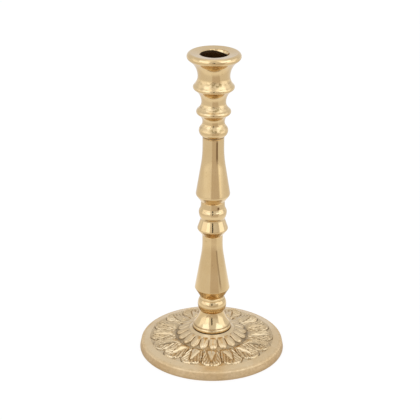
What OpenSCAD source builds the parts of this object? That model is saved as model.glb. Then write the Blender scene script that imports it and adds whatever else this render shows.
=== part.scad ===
// Altar candlestick: turned brass sections stacked on a steel tie rod, standing
// on a cast brass base with a leaf rosette. Millimetres, +Z up, origin at the
// centre of the underside.

/* [Base] */
// Diameter of the base
base_d = 122; // [112:1:136]
// Height of the seat that the foot stands on
seat_h = 19; // [18.6:0.2:22]
// Thickness of the seat over the hollow
seat_t = 6; // [5:0.5:7]
// Height of the edge between side and border
edge_h = 7.2; // [6:0.1:8.4]
// Lean of the side, from its foot to the edge
edge_in = 1.4; // [0.4:0.1:2]
// Rounding of the edge between side and border
edge_round = 1.8; // [1:0.1:3]
// Rounding of the lower edge
toe_round = 0.8; // [0.4:0.1:1.2]
// Width of the plain border round the rosette
border_w = 8.8; // [7:0.2:11]
// Height of the border at the rosette
border_h = 9.2; // [8.8:0.1:10]
// Diameter of the sloping collar round the foot
collar_d = 38; // [37:0.5:42]
// Height of the collar's outer edge
collar_h = 17.4; // [16:0.1:18]
// Hollow curve of the dome, where 1 is a straight cone
dome_curve = 2.5; // [2:0.1:3]
// Edge of the seat round the foot
seat_edge = 0.2; // [0.1:0.05:0.3]
// Wall between the rosette and the hollow
wall_t = 4; // [3.5:0.25:4.5]
// Width of the flat ring that the base stands on
tread_w = 7; // [5:0.5:9]

/* [Rosette] */
// Number of petals in the inner ring
petal_n = 20; // [16:1:24]
// Length of a petal along the dome
petal_l = 10.5; // [9:0.5:13]
// Height that a petal would reach at its tip
petal_h = 2; // [1.4:0.1:2.8]
// How far the ring of petals is turned from the front
petal_turn = 3; // [0:1:9]
// Number of leaves in the outer ring
leaf_n = 16; // [12:1:18]
// Height of a leaf's ridged tongue at its fullest
leaf_h = 3.2; // [1.8:0.1:3.6]
// Height of a leaf's flat tip
tip_h = 0.9; // [0.4:0.1:1.2]
// Share of a leaf's length where its tip begins to round
leaf_turn = 0.6; // [0.5:0.05:0.75]
// Share of a leaf's length where its tongue is fullest
leaf_swell = 0.36; // [0.28:0.01:0.44]

/* [Foot] */
// Height of the foot
foot_h = 29.2; // [28.6:0.2:34]
// Diameter of the foot where it stands on the base
foot_d = 32.2; // [31.2:0.2:36]
// Height of the band at the bottom of the foot
foot_band_h = 4.1; // [3.4:0.1:5]
// Rounding of the band's lower edge
band_toe = 1; // [0.4:0.1:1.6]
// Rounding of the band's upper edge
band_round = 1.5; // [0.5:0.1:1.8]
// Height of the step between band and bell
band_step = 0.4; // [0.2:0.1:0.8]
// Diameter of the bell where it springs from the band
bell_d = 30.8; // [28.8:0.2:31]
// Height of the top of the bell
bell_h = 15.9; // [14.4:0.1:17]
// Diameter of the top of the bell
bell_top_d = 19.8; // [18.4:0.2:21]
// Hollow of the bell's flare
bell_sag = 0.7; // [0.2:0.1:1.2]
// Ledge between the bell and the foot's bead
bead_ledge = 0.2; // [0.1:0.05:0.5]
// Height of the top of the foot's bead
foot_bead_top = 26.9; // [25.5:0.1:27.4]
// Diameter of the top of the foot's bead
bead_top_d = 21.2; // [20.8:0.1:22.4]
// Swelling of the foot's bead
foot_bead_sag = 1.7; // [0.8:0.1:2.2]

/* [Lower baluster] */
// Height of the lower baluster
lower_h = 56; // [50:0.5:64]
// Diameter of its bottom
lower_bottom_d = 20.5; // [19.4:0.1:20.6]
// Height of the bevel under its swell
lower_bevel_h = 7.9; // [6:0.1:9]
// Diameter of its swell
lower_swell_d = 29.3; // [27:0.1:31]
// Rounding of its swell
lower_swell_round = 1.2; // [0.5:0.1:2.5]
// Diameter of its neck
lower_neck_d = 17; // [16:0.1:18.4]
// Length of its neck above the taper
lower_neck_l = 12.5; // [9:0.5:16]
// Radius of the long curve from taper to neck
lower_neck_round = 70; // [40:5:100]

/* [Upper baluster] */
// Height of the upper baluster
upper_h = 55.5; // [50:0.5:64]
// Diameter of its bottom
upper_bottom_d = 19.5; // [18.5:0.1:21]
// Height of the bevel under its swell
upper_bevel_h = 6.4; // [5:0.1:8]
// Diameter of its swell
upper_swell_d = 28.4; // [26:0.1:30]
// Rounding of its swell
upper_swell_round = 3.5; // [0.5:0.1:4]
// Diameter of its neck
upper_neck_d = 17.6; // [16.4:0.1:19]
// Length of its neck above the taper
upper_neck_l = 16; // [12:0.5:19]
// Radius of the long curve from taper to neck
upper_neck_round = 95; // [60:5:130]

/* [Knop] */
// Height of the knop
knop_h = 29.8; // [28:0.2:34]
// Diameter of the flared ring
flare_d = 25.7; // [23:0.1:28]
// Height of the flared ring's edge
flare_z = 5.8; // [4.6:0.1:6.6]
// Rounding of the flared ring's edge
flare_round = 2; // [1:0.1:3]
// Diameter of the groove between ring and bead
groove_d = 19.8; // [18:0.1:21]
// Height of the groove
groove_z = 14.4; // [13:0.1:15.6]
// Rounding of the groove
groove_round = 1.2; // [0.4:0.1:2]
// Diameter of the knop's bead
knop_bead_d = 23.3; // [22:0.1:25]
// Height of the knop's bead
knop_bead_z = 21; // [19.8:0.1:22]
// Rounding of the knop's bead
knop_bead_round = 2.4; // [1:0.1:3]
// Height of the foot of the knop's neck
knop_neck_z = 24.9; // [24:0.1:26]
// Rounding between the knop's bead and its neck
knop_neck_round = 3; // [1:0.1:4]
// Taper of the knop's neck, from foot to top
knop_taper = 0.7; // [0.2:0.1:1.2]
// Ledge of the knop over the lower baluster's neck
knop_ledge = 0.2; // [0.1:0.05:0.5]

/* [Candle socket] */
// Height of the candle socket
socket_h = 70.5; // [68:0.5:80]
// Diameter of the bore for the candle
bore_d = 22.5; // [21:0.1:23]
// Depth of the bore's floor below the middle of the upper ring
bore_drop = 3.8; // [3:0.1:4.5]
// Diameter of the lip
lip_d = 43.4; // [40:0.2:48]
// Rounding of the lip
lip_round = 3; // [2:0.1:3.5]
// Fall of the top towards the bore
dish_h = 0.9; // [0.3:0.1:1.2]
// Bevel at the mouth of the bore
mouth_bevel = 0.6; // [0.3:0.1:1]
// Diameter of the waist under the lip
throat_d = 25.9; // [25.5:0.1:28]
// Height of the waist under the lip, as a share of the socket's height
throat_at = 0.725; // [0.71:0.005:0.74]
// Diameter of the upper ring
upper_ring_d = 33.3; // [31:0.1:36]
// Height of the upper ring, as a share of the socket's height
upper_ring_at = 0.602; // [0.595:0.001:0.61]
// Rounding of the upper ring's edge
upper_ring_round = 2.1; // [1.4:0.1:2.4]
// Diameter of the waist between the rings
mid_waist_d = 19.8; // [18.6:0.1:21]
// Height of the waist between the rings, as a share of the socket's height
mid_waist_at = 0.4255; // [0.415:0.0005:0.435]
// Diameter of the lower ring
lower_ring_d = 28; // [26:0.1:30]
// Height of the lower ring, as a share of the socket's height
lower_ring_at = 0.311; // [0.304:0.001:0.32]
// Rounding of the lower ring's edge
lower_ring_round = 2.3; // [1.4:0.1:2.6]
// Diameter of the waist above the socket's bead
low_waist_d = 18; // [17:0.1:19.4]
// Height of the waist above the socket's bead, as a share of the socket's height
low_waist_at = 0.19; // [0.185:0.001:0.2]
// Diameter of the socket's bead
socket_bead_d = 23.6; // [22:0.1:26]
// Height of the socket's bead, as a share of the socket's height
socket_bead_at = 0.0845; // [0.082:0.0005:0.09]
// Rounding of the socket's bead
socket_bead_round = 5.3; // [4.4:0.1:5.5]
// Diameter of the socket where it stands on the upper baluster
socket_bottom_d = 17.8; // [16.8:0.1:19]

/* [Fastening] */
// Diameter of the tie rod
rod_d = 8; // [7:0.5:8.5]
// Length of rod screwed into the candle socket
thread_l = 16; // [12:0.5:18]
// Length of rod left below the nut
rod_tail = 1; // [0.5:0.1:1.5]
// Bevel on the ends of the rod
rod_bevel = 0.8; // [0.4:0.1:1]
// Outer diameter of the flat washer
washer_d = 24; // [18:0.5:26]
// Thickness of the flat washer
washer_t = 1.8; // [1.4:0.1:2]
// Outer diameter of the spring washer
spring_d = 14.8; // [13.5:0.1:16]
// Thickness of the spring washer
spring_t = 2; // [1.5:0.1:2.2]
// Gap in the spring washer
spring_gap = 1.2; // [0.8:0.1:2]
// Slant of the gap
spring_slant = 30; // [15:5:40]
// Width of the nut across its flats
nut_w = 13; // [12:0.5:14]
// Height of the nut
nut_h = 6.5; // [6:0.1:6.8]
// Bevel on the nut's corners
nut_bevel = 0.6; // [0.3:0.1:0.9]

/* [Fits] */
// Play round the rod in the sections
rod_gap = 0.5; // [0.3:0.05:0.6]
// Play in the screw threads
thread_gap = 0.05; // [0.02:0.01:0.1]
// Diameter of the spigots that centre the sections
spigot_d = 12.4; // [11.6:0.1:13]
// Length of the spigots
spigot_h = 2.5; // [1.5:0.1:3]
// Play round the spigots
spigot_gap = 0.1; // [0.05:0.01:0.2]
// Room past the end of a spigot or of the rod
end_gap = 0.5; // [0.3:0.1:1]
// Bevel on the edges where two sections meet
seam_bevel = 0.3; // [0.1:0.05:0.5]

/* [Hidden] */

$fn = 96;
brass = [0.85, 0.68, 0.38];
cast_brass = [0.80, 0.64, 0.36];
steel = [0.72, 0.73, 0.75];

// Room for cuts that run past a face
slack = 1;
// Straight steps that make up each round stretch of an outline
arc_steps = 8;
// Share of a line that the rounding at one of its ends may take up
half_line = 0.49;

// Heights of the seams, from the table up
lower_z = seat_h + foot_h;
knop_z = lower_z + lower_h;
upper_z = knop_z + knop_h;
socket_z = upper_z + upper_h;

// Fastening under the seat, from the seat down
washer_z = seat_h - seat_t - washer_t;
spring_z = washer_z - spring_t;
nut_z = spring_z - nut_h;
rod_bottom = nut_z - rod_tail;
rod_top = socket_z + thread_l;

// Heights of the socket's mouldings, from its seam up
throat_z = socket_h * throat_at;
upper_ring_z = socket_h * upper_ring_at;
mid_waist_z = socket_h * mid_waist_at;
lower_ring_z = socket_h * lower_ring_at;
low_waist_z = socket_h * low_waist_at;
socket_bead_z = socket_h * socket_bead_at;
mouth_z = socket_h - dish_h;
bore_l = mouth_z - mouth_bevel - upper_ring_z + bore_drop;

rod_hole_d = rod_d + 2 * rod_gap;
thread_d = rod_d + 2 * thread_gap;
recess_d = spigot_d + 2 * spigot_gap;
recess_h = spigot_h + end_gap;

// The rosette lies between the collar and the border, and the collar slopes from the seat
seat_r = foot_d / 2 + seat_edge;
base_r = base_d / 2;
collar_r = collar_d / 2;
relief_r = base_r - border_w;
leaf_r = collar_r + petal_l;
// How far the rosette reaches into the plain rings beside it, and the dome lies below it
relief_lap = 0.5;
relief_sink = 0.8;
// How far the rosette's ground lies below the plain rings beside it
relief_dip = 0.15;
relief_foot = 2;
relief_inset = 1.5;
relief_cols = leaf_n * 15;
petal_rows = 6;
leaf_rows = 11;
relief_rows = petal_rows + leaf_rows + 1;
tip_crowding = 1.5;
dome_steps = 7;

// Widths are shares of the place that a petal or leaf has, lengths are shares of its length.
// A petal: its root, how it widens and bluntly closes, and the ground beside it
petal_root = 0.6;
petal_widen = 0.3;
petal_arch = 153;
petal_blunt = 5;
petal_start = 0.2;
petal_tip = 8;
petal_gap = 0.45;
// A leaf: its root, how it widens, rounds to the tip and rises from under the petals
leaf_root = 0.82;
leaf_widen = 0.15;
leaf_full = 0.45;
leaf_blunt = 2.4;
leaf_flat = 6;
leaf_start = 0.22;
// The tongue on a leaf: its root, where it ends, how it is ridged and how it swells
tongue_root = 0.74;
tongue_end = 0.8;
tongue_ridge = 1.4;
tongue_low = 0.15;
tongue_l = 0.34;
// Least half-width that a section is divided by
thin = 0.01;

// Points along an arc from a to b that stands out by sag to the right of the way up
function arc(a, b, sag) =
    let (
        chord = norm(b - a),
        radius = (chord * chord / 4 + sag * sag) / (2 * abs(sag)),
        side = sign(sag),
        along = (b - a) / chord,
        out = [along[1], -along[0]] * side,
        middle = (a + b) / 2 + out * (abs(sag) - radius),
        half = asin(chord / 2 / radius)
    )
    [for (i = [0 : arc_steps])
        let (t = half * (2 * i / arc_steps - 1))
        middle + radius * (cos(t) * out + sin(t) * along)];

// Points that round the corner b between the lines from a and to c
function fillet(a, b, c, radius) =
    let (
        back = (a - b) / norm(a - b),
        ahead = (c - b) / norm(c - b),
        turn = acos(back * ahead) / 2,
        reach = min(radius / tan(turn), norm(a - b) * half_line, norm(c - b) * half_line),
        size = reach * tan(turn),
        bisector = (back + ahead) / norm(back + ahead),
        middle = b + bisector * size / sin(turn),
        first = b + back * reach - middle,
        last = b + ahead * reach - middle,
        sweep = 180 - 2 * turn,
        way = sign(first[0] * last[1] - first[1] * last[0])
    )
    [for (i = [0 : arc_steps])
        let (t = way * sweep * i / arc_steps)
        middle + [first[0] * cos(t) - first[1] * sin(t), first[0] * sin(t) + first[1] * cos(t)]];

// A moulding is a bead [radius, height, edge rounding] or a waist [radius, height].
// The cove between them is the arc that leaves the waist upright and meets the bead smoothly.
function cove_radius(waist, bead) =
    (pow(waist[0] - bead[0] + bead[2], 2) + pow(waist[1] - bead[1], 2) - bead[2] * bead[2])
    / (2 * (bead[0] - waist[0]));
function bead_centre(bead) = [bead[0] - bead[2], bead[1]];
function cove_centre(waist, bead) = [waist[0] + cove_radius(waist, bead), waist[1]];
function heading(v) = atan2(v[1], v[0]);
function sweep_points(middle, radius, from, to) =
    [for (i = [0 : arc_steps])
        let (t = from + (to - from) * i / arc_steps)
        middle + radius * [cos(t), sin(t)]];

// The edge of a bead between the waists below and above it
function bead_edge(bead, below, above) =
    sweep_points(bead_centre(bead), bead[2],
        heading(cove_centre(below, bead) - bead_centre(bead)),
        heading(cove_centre(above, bead) - bead_centre(bead)));
// The upper half of a waist, up to the bead above it
function cove_up(waist, bead) =
    sweep_points(cove_centre(waist, bead), cove_radius(waist, bead), 180,
        heading(bead_centre(bead) - cove_centre(waist, bead)));
// The lower half of a waist, from the bead below it
function cove_down(waist, bead) =
    sweep_points(cove_centre(waist, bead), cove_radius(waist, bead),
        360 + heading(bead_centre(bead) - cove_centre(waist, bead)), 180);

// Bevelled edges where a section's side of radius r meets its bottom, or its top at height z
function bottom_edge(r) = [[0, 0], [r - seam_bevel, 0], [r, seam_bevel]];
function top_edge(r, z) = [[r, z - seam_bevel], [r - seam_bevel, z], [0, z]];

// A solid turned from an outline of [radius, height] points
module turned(outline) rotate_extrude() polygon(outline);

// A turned section with its centring spigot, recess and hole for the rod
module strung(height) {
    difference() {
        union() {
            children();
            translate([0, 0, -spigot_h]) cylinder(d = spigot_d, h = spigot_h + slack);
        }
        translate([0, 0, -spigot_h - slack])
            cylinder(d = rod_hole_d, h = height + spigot_h + 2 * slack);
        translate([0, 0, height - recess_h]) cylinder(d = recess_d, h = recess_h + slack);
    }
}

// Height of the dome under the rosette
function dome(r) =
    border_h + (collar_h - border_h) * pow((relief_r - r) / (relief_r - collar_r), dome_curve);

// Place across a petal or leaf, from -1 at one side to 1 at the other
function across(angle, count) = 2 * (angle * count / 360 - round(angle * count / 360));
// Rounded section of a petal or leaf of half-width w
function crown(u, w) = abs(u) < w ? sqrt(1 - pow(u / w, 2)) : 0;

// An even start from 0 to 1
function eased(t) = let (s = max(0, min(1, t))) s * s * (3 - 2 * s);

// Half-width and height of a petal at v of its length: an egg, fullest near its rounded tip
function petal_w(v) = (petal_root + petal_widen * sin(petal_arch * v)) * sqrt(1 - pow(v, petal_blunt));
function petal_top(v) = petal_h * v * sqrt(1 - pow(v, petal_tip));
function petal(v, u) =
    v >= 1 || abs(u) >= petal_w(v) ? -petal_gap * min(1, v / petal_start)
    : petal_top(v) * crown(u, max(thin, petal_w(v)));

// Half-width of a leaf at v of its length: broad, then rounded to the tip
function leaf_tip(v) = max(0, (v - leaf_turn) / (1 - leaf_turn));
function leaf_w(v) =
    (leaf_root + leaf_widen * min(1, v / leaf_full)) * sqrt(1 - pow(leaf_tip(v), leaf_blunt));
// Half-width of its tongue, which narrows to a point past the turn
function tongue_w(v) = tongue_root * (1 - v / tongue_end);
// Ridged section of the tongue, and its swelling along the leaf
function ridge(u, w) = abs(u) < w ? 1 - pow(abs(u) / w, tongue_ridge) : 0;
function swelling(v) = tongue_low + (1 - tongue_low) * exp(-pow((v - leaf_swell) / tongue_l, 2));

// Height of a leaf at v of its length: a low flat leaf with a ridged tongue on it
function leaf_top(v, u) =
    v >= 1 || abs(u) >= leaf_w(v) ? 0
    : tip_h * sqrt(1 - pow(abs(u) / leaf_w(v), leaf_flat))
        + (leaf_h - tip_h) * swelling(v) * ridge(u, max(thin, tongue_w(v)));
function leaf(v, u) =
    let (start = eased(v / leaf_start))
    start * leaf_top(v, u) - (1 - start) * petal_gap;

// Height of the rosette over the dome
function relief(r, angle) =
    r <= leaf_r ? petal((r - collar_r) / petal_l, across(angle - petal_turn, petal_n))
    : leaf((r - leaf_r) / (relief_r - leaf_r), across(angle, leaf_n));

// The rosette: one closed ring of leaves that is cast in one with the dome
module rosette() {
    inner_r = collar_r - relief_lap;
    outer_r = relief_r + relief_lap;
    // Rows lie closer together towards the tips
    function tipward(t) = 1 - pow(1 - t, tip_crowding);
    function row_r(i) =
        i == 0 ? inner_r
        : i == relief_rows ? outer_r
        : i <= petal_rows ? collar_r + petal_l * tipward(i / petal_rows)
        : leaf_r + (relief_r - leaf_r) * tipward((i - petal_rows) / leaf_rows);
    function row_z(i, angle) =
        i == 0 ? collar_h - relief_lap
        : i == relief_rows ? border_h - relief_lap
        : dome(row_r(i)) - relief_dip + relief(row_r(i), angle);
    function spot(r, angle, z) = [r * cos(angle), r * sin(angle), z];
    angles = [for (j = [0 : relief_cols - 1]) 360 * j / relief_cols];
    points = concat(
        [for (i = [0 : relief_rows]) for (a = angles) spot(row_r(i), a, row_z(i, a))],
        [for (a = angles) spot(inner_r, a, collar_h - relief_foot)],
        [for (a = angles) spot(outer_r, a, border_h - relief_foot)]);
    function at(i, j) = i * relief_cols + j % relief_cols;
    inner_foot = relief_rows + 1;
    outer_foot = relief_rows + 2;
    faces = concat(
        [for (i = [0 : relief_rows - 1]) for (j = [0 : relief_cols - 1])
            [at(i, j), at(i, j + 1), at(i + 1, j + 1)]],
        [for (i = [0 : relief_rows - 1]) for (j = [0 : relief_cols - 1])
            [at(i, j), at(i + 1, j + 1), at(i + 1, j)]],
        [for (j = [0 : relief_cols - 1])
            [at(relief_rows, j), at(relief_rows, j + 1), at(outer_foot, j + 1), at(outer_foot, j)]],
        [for (j = [0 : relief_cols - 1])
            [at(0, j), at(inner_foot, j), at(inner_foot, j + 1), at(0, j + 1)]],
        [for (j = [0 : relief_cols - 1])
            [at(inner_foot, j), at(outer_foot, j), at(outer_foot, j + 1), at(inner_foot, j + 1)]]);
    polyhedron(points, faces);
}

// The plain casting: leaning side, border, dome, collar and seat
module base_body() {
    edge = [base_r - edge_in, edge_h];
    shoulder = [for (i = [0 : dome_steps])
        let (r = relief_r - relief_inset - (relief_r - collar_r - 2 * relief_inset) * i / dome_steps)
        [r, dome(r) - relief_sink]];
    turned(concat(
        [[0, 0]],
        fillet([0, 0], [base_r, 0], edge, toe_round),
        fillet([base_r, 0], edge, [relief_r, border_h], edge_round),
        [[relief_r, border_h]],
        shoulder,
        [[collar_r, collar_h], [seat_r, seat_h], [0, seat_h]]));
}

// The hollow underside follows the dome
module base_hollow() {
    hollow_r = base_r - tread_w;
    roof = seat_h - seat_t;
    boss_r = collar_r - wall_t;
    function ceiling(r) = min(roof, dome(r) - wall_t);
    turned(concat(
        [[0, -slack], [hollow_r + slack / 4, -slack], [relief_r - wall_t / 2, border_h - wall_t]],
        [for (i = [1 : dome_steps])
            let (r = relief_r - wall_t - (relief_r - wall_t - boss_r) * i / dome_steps)
            [r, ceiling(r)]],
        [[0, roof]]));
}

module base() color(cast_brass) difference() {
    union() {
        base_body();
        rosette();
    }
    base_hollow();
    cylinder(d = rod_hole_d, h = seat_h + slack);
    translate([0, 0, seat_h - recess_h]) cylinder(d = recess_d, h = recess_h + slack);
}

module foot() color(brass) translate([0, 0, seat_h]) strung(foot_h) {
    band_r = foot_d / 2;
    neck_r = lower_bottom_d / 2;
    bell_foot = [bell_d / 2, foot_band_h + band_step];
    bead_foot = [bell_top_d / 2 + bead_ledge, bell_h + bead_ledge / 2];
    turned(concat(
        [[0, 0]],
        fillet([0, 0], [band_r, 0], [band_r, foot_band_h], band_toe),
        fillet([band_r, 0], [band_r, foot_band_h], bell_foot, band_round),
        arc(bell_foot, [bell_top_d / 2, bell_h], -bell_sag),
        arc(bead_foot, [bead_top_d / 2, foot_bead_top], foot_bead_sag),
        [[neck_r, foot_bead_top + bead_ledge]],
        top_edge(neck_r, foot_h)));
}

// Outline of a baluster: bevel, swell, taper and neck
function baluster_outline(height, bottom_r, bevel_h, swell_r, swell_round, neck_r, neck_l, neck_round) =
    let (
        bottom = [bottom_r, 0],
        swell = [swell_r, bevel_h],
        taper_end = [neck_r, height - neck_l],
        top = [neck_r, height]
    )
    concat(
        bottom_edge(bottom_r),
        fillet(bottom, swell, taper_end, swell_round),
        fillet(swell, taper_end, top, neck_round),
        top_edge(neck_r, height));

module lower_baluster() color(brass) translate([0, 0, lower_z]) strung(lower_h)
    turned(baluster_outline(lower_h, lower_bottom_d / 2, lower_bevel_h, lower_swell_d / 2,
        lower_swell_round, lower_neck_d / 2, lower_neck_l, lower_neck_round));

module upper_baluster() color(brass) translate([0, 0, upper_z]) strung(upper_h)
    turned(baluster_outline(upper_h, upper_bottom_d / 2, upper_bevel_h, upper_swell_d / 2,
        upper_swell_round, upper_neck_d / 2, upper_neck_l, upper_neck_round));

module knop() color(brass) translate([0, 0, knop_z]) strung(knop_h) {
    bottom = [lower_neck_d / 2 + knop_ledge, 0];
    flare = [flare_d / 2, flare_z];
    groove = [groove_d / 2, groove_z];
    bead = [knop_bead_d / 2, knop_bead_z];
    neck = [(upper_bottom_d + knop_taper) / 2, knop_neck_z];
    turned(concat(
        bottom_edge(bottom[0]),
        fillet(bottom, flare, groove, flare_round),
        fillet(flare, groove, bead, groove_round),
        fillet(groove, bead, neck, knop_bead_round),
        fillet(bead, neck, [upper_bottom_d / 2, knop_h], knop_neck_round),
        top_edge(upper_bottom_d / 2, knop_h)));
}

module candle_socket() color(brass) translate([0, 0, socket_z]) {
    lip = [lip_d / 2, socket_h - lip_round, lip_round];
    throat = [throat_d / 2, throat_z];
    upper_ring = [upper_ring_d / 2, upper_ring_z, upper_ring_round];
    mid_waist = [mid_waist_d / 2, mid_waist_z];
    lower_ring = [lower_ring_d / 2, lower_ring_z, lower_ring_round];
    low_waist = [low_waist_d / 2, low_waist_z];
    bead = [socket_bead_d / 2, socket_bead_z, socket_bead_round];
    bottom_r = socket_bottom_d / 2;
    bead_drop = sqrt(pow(bead[2], 2) - pow(bottom_r - bead_centre(bead)[0], 2));
    bore_r = bore_d / 2;
    difference() {
        union() {
            turned(concat(
                bottom_edge(bottom_r),
                sweep_points(bead_centre(bead), bead[2],
                    heading([bottom_r - bead_centre(bead)[0], -bead_drop]),
                    heading(cove_centre(low_waist, bead) - bead_centre(bead))),
                cove_down(low_waist, bead), cove_up(low_waist, lower_ring),
                bead_edge(lower_ring, low_waist, mid_waist),
                cove_down(mid_waist, lower_ring), cove_up(mid_waist, upper_ring),
                bead_edge(upper_ring, mid_waist, throat),
                cove_down(throat, upper_ring), cove_up(throat, lip),
                sweep_points(bead_centre(lip), lip_round,
                    heading(cove_centre(throat, lip) - bead_centre(lip)), 90),
                [[bore_r + mouth_bevel, mouth_z], [0, mouth_z]]));
            translate([0, 0, -spigot_h]) cylinder(d = spigot_d, h = spigot_h + slack);
        }
        translate([0, 0, mouth_z - mouth_bevel - bore_l]) cylinder(d = bore_d, h = bore_l + socket_h);
        translate([0, 0, mouth_z - mouth_bevel])
            cylinder(r1 = bore_r, r2 = bore_r + mouth_bevel + slack, h = mouth_bevel + slack);
        translate([0, 0, -spigot_h - slack])
            cylinder(d = thread_d, h = spigot_h + slack + thread_l + end_gap);
    }
}

module tie_rod() color(steel) {
    rod_r = rod_d / 2;
    turned([[0, rod_bottom], [rod_r - rod_bevel, rod_bottom], [rod_r, rod_bottom + rod_bevel],
        [rod_r, rod_top - rod_bevel], [rod_r - rod_bevel, rod_top], [0, rod_top]]);
}

module base_washer() color(steel) translate([0, 0, washer_z]) difference() {
    cylinder(d = washer_d, h = washer_t);
    translate([0, 0, -slack]) cylinder(d = rod_hole_d, h = washer_t + 2 * slack);
}

module spring_washer() color(steel) translate([0, 0, spring_z]) difference() {
    cylinder(d = spring_d, h = spring_t);
    translate([0, 0, -slack]) cylinder(d = rod_hole_d, h = spring_t + 2 * slack);
    // The split slants across the ring
    translate([0, 0, spring_t / 2]) rotate([spring_slant, 0, 0])
        translate([0, -spring_gap / 2, -spring_t * 2]) cube([spring_d, spring_gap, spring_t * 4]);
}

module base_nut() color(steel) translate([0, 0, nut_z]) difference() {
    corner_r = nut_w / 2 / cos(30);
    intersection() {
        cylinder(r = corner_r, h = nut_h, $fn = 6);
        turned([[0, 0], [nut_w / 2, 0], [corner_r + slack, nut_bevel + slack / 2],
            [corner_r + slack, nut_h - nut_bevel - slack / 2], [nut_w / 2, nut_h], [0, nut_h]]);
    }
    translate([0, 0, -slack]) cylinder(d = thread_d, h = nut_h + 2 * slack);
}

base();
foot();
lower_baluster();
knop();
upper_baluster();
candle_socket();
tie_rod();
base_washer();
spring_washer();
base_nut();
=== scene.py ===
"""Looks of a turned brass altar candlestick on a cast base with a leaf rosette.

Sizes are in millimetres and repeat the solids, but for a rounder bead on the knop and
a rounder band on the foot. Meshes are written in metres, +Z up, with the origin at the
centre of the underside and the viewer on the -Y side.
"""

from __future__ import annotations

import logging
from collections.abc import Callable, Sequence
from dataclasses import dataclass, field
from enum import Enum
from itertools import pairwise
from math import acos, asin, atan2, ceil, copysign, cos, degrees, dist, exp, hypot, pi
from math import radians, sin, sqrt, tan

import bpy
import numpy as np
from mathutils import Matrix, Vector, noise

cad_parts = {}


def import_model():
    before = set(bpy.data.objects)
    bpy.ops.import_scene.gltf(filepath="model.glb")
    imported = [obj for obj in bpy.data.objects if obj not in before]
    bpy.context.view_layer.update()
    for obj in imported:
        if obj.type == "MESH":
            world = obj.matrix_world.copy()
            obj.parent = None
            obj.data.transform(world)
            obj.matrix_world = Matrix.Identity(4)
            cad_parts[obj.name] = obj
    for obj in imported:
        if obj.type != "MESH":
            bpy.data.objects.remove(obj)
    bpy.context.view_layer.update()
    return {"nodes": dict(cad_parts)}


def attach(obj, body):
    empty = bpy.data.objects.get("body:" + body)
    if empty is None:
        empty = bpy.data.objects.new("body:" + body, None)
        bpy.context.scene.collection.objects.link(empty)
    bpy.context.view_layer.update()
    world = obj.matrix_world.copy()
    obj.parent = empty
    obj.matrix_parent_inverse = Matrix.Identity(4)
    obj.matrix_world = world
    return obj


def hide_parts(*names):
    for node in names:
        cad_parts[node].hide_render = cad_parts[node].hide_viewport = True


LOG = logging.getLogger("candlestick")
MM = 0.001
BODY = "root"
PHOTO_PIXELS = 420
SENSOR_MM = 36.0
SAME_POINT = 1e-4
THIN = 1e-3
CLEAR = 0.2
TOE = 0.1
FINE_ROWS = 0.7

Point = tuple[float, float]
Outline = list[Point]
Colour = tuple[float, float, float]
Face = tuple[int, ...]
Array = np.ndarray
Sector = tuple[Array, Array, Array]
Piece = bpy.types.Object
Node = bpy.types.Node
Socket = bpy.types.NodeSocket
Tree = bpy.types.NodeTree


class Slot(Enum):
    """Material slots of the record."""

    BRASS = "brass"
    CAST_BRASS = "cast_brass"
    STEEL = "steel"


class Mark(Enum):
    """Vertex attributes that the finishes read."""

    # painted shade in creases, seams and hollows, shared with real tarnish, soot and dark marks
    SHADE_AND_TARNISH = "shade_and_tarnish"
    ROUGH_CAST = "rough_cast"
    PITTING = "pitting"


# Curves


def unit(value: Array) -> Array:
    """The value held between 0 and 1."""
    return np.clip(value, 0, 1)


def bell(value: Array, reach: float, power: int = 2) -> Array:
    """Curve that is 1 at zero and fades out past a reach."""
    return np.exp(-((value / reach) ** power))


def eased(share: Array) -> Array:
    """A rise from 0 to 1 with soft ends."""
    return share * share * (3 - 2 * share)


# Outlines


def heading(a: Point, b: Point) -> float:
    """Angle of the way from a to b, in radians."""
    return atan2(b[1] - a[1], b[0] - a[0])


def sweep(middle: Point, radius: float, start: float, end: float, steps: int = 14) -> Outline:
    """Points on a circle from one angle to another, in radians."""
    turns = [start + (end - start) * i / steps for i in range(steps + 1)]
    return [(middle[0] + radius * cos(t), middle[1] + radius * sin(t)) for t in turns]


def arc(a: Point, b: Point, sag: float) -> Outline:
    """Points on an arc between two points.

    Args:
        a: First point, (radius, height).
        b: Last point.
        sag: How far the arc stands out to the right of the way from a to b.

    Returns:
        The points from a to b.
    """
    chord = dist(a, b)
    radius = (chord * chord / 4 + sag * sag) / (2 * abs(sag))
    facing = heading(a, b) - copysign(pi / 2, sag)
    half = copysign(asin(chord / 2 / radius), sag)
    back = radius - abs(sag)
    middle = (
        (a[0] + b[0]) / 2 - back * cos(facing),
        (a[1] + b[1]) / 2 - back * sin(facing),
    )
    return sweep(middle, radius, facing - half, facing + half)


def fillet(a: Point, b: Point, c: Point, radius: float, steps: int = 12) -> Outline:
    """Points that round the corner b between the lines from a and to c.

    Args:
        a: Point before the corner.
        b: The corner.
        c: Point after the corner.
        radius: Radius of the rounding, less where a line is short.
        steps: Straight steps along it.

    Returns:
        The points of the rounding.
    """
    half_line = 0.49
    corner = np.array(b, float)
    runs = np.array([a, c], float) - corner
    lengths = np.linalg.norm(runs, axis=1)
    back, ahead = runs / lengths[:, None]
    turn = acos(float(back @ ahead)) / 2
    reach = min(radius / tan(turn), *(lengths * half_line))
    size = reach * tan(turn)
    bisector = (back + ahead) / np.linalg.norm(back + ahead)
    middle = corner + bisector * size / sin(turn)
    first, last = corner + back * reach - middle, corner + ahead * reach - middle
    way = copysign(1, first[0] * last[1] - first[1] * last[0])
    start = atan2(first[1], first[0])
    return sweep(tuple(middle), size, start, start + way * (pi - 2 * turn), steps)


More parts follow.
